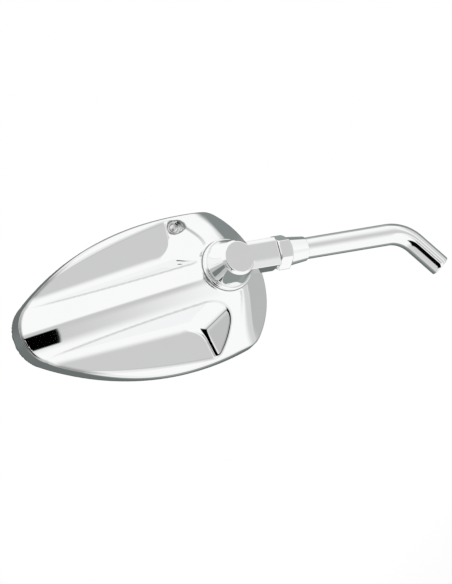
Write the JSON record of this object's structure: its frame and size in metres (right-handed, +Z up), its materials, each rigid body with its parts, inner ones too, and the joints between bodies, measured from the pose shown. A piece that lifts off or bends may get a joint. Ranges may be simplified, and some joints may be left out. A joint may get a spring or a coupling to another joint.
{
  "type": "motorcycle mirror",
  "caption": "Chromed teardrop rear view mirror with a spined, scooped back, a swivel knuckle and a bent stem with a tapped end.",
  "frame": {"origin": "middle of the stem's lower end face, where the tapped mounting hole opens", "axes": "+Z up the stem's short leg, stem in the XZ plane with the head towards -X, chromed back of the head facing -Y and glass facing +Y"},
  "size_m": [0.2018, 0.0443, 0.1682],
  "materials": {
    "chrome_stem": "bright chrome plate on steel",
    "chrome_nut": "bright chrome plate on steel",
    "chrome_knuckle": "bright chrome plate on a zinc casting",
    "chrome_ring": "bright chrome plate on brass",
    "chrome_shell": "bright chrome plate on a polished die casting",
    "screw_steel": "polished stainless steel",
    "plated_steel": "zinc plated steel",
    "spring_steel": "dark oiled spring steel",
    "nylon": "natural nylon",
    "bronze": "plain bearing bronze",
    "black_plastic": "moulded black plastic",
    "foam": "closed cell foam tape",
    "silvered_glass": "silvered flat glass",
    "black_rubber": "moulded black rubber"
  },
  "bodies": {
    "stem": {"stem": "chrome_stem", "jam_nut": "chrome_nut"},
    "arm": {"knuckle": "chrome_knuckle", "pivot_stud": "plated_steel", "lock_nut": "plated_steel", "lock_insert": "nylon", "thrust_washer": "plated_steel", "disc_springs": "spring_steel"},
    "head": {"mirror_shell": "chrome_shell", "base_ring": "chrome_ring", "pivot_bush": "bronze", "friction_washer": "nylon", "carrier_plate": "black_plastic", "carrier_screw": "screw_steel", "glass_pad": "foam", "mirror_glass": "silvered_glass", "glass_seal": "black_rubber"}
  },
  "joints": [
    {"name": "arm_twist", "type": "hinge", "parent": "stem", "child": "arm", "pos_m": [-0.08261, 0, 0.09464], "axis": [-0.7815, 0, 0.6239], "range_deg": [-90, 90]},
    {"name": "head_swivel", "type": "hinge", "parent": "arm", "child": "head", "pos_m": [-0.08261, 0, 0.09464], "axis": [0, -1, 0], "continuous": true}
  ]
}
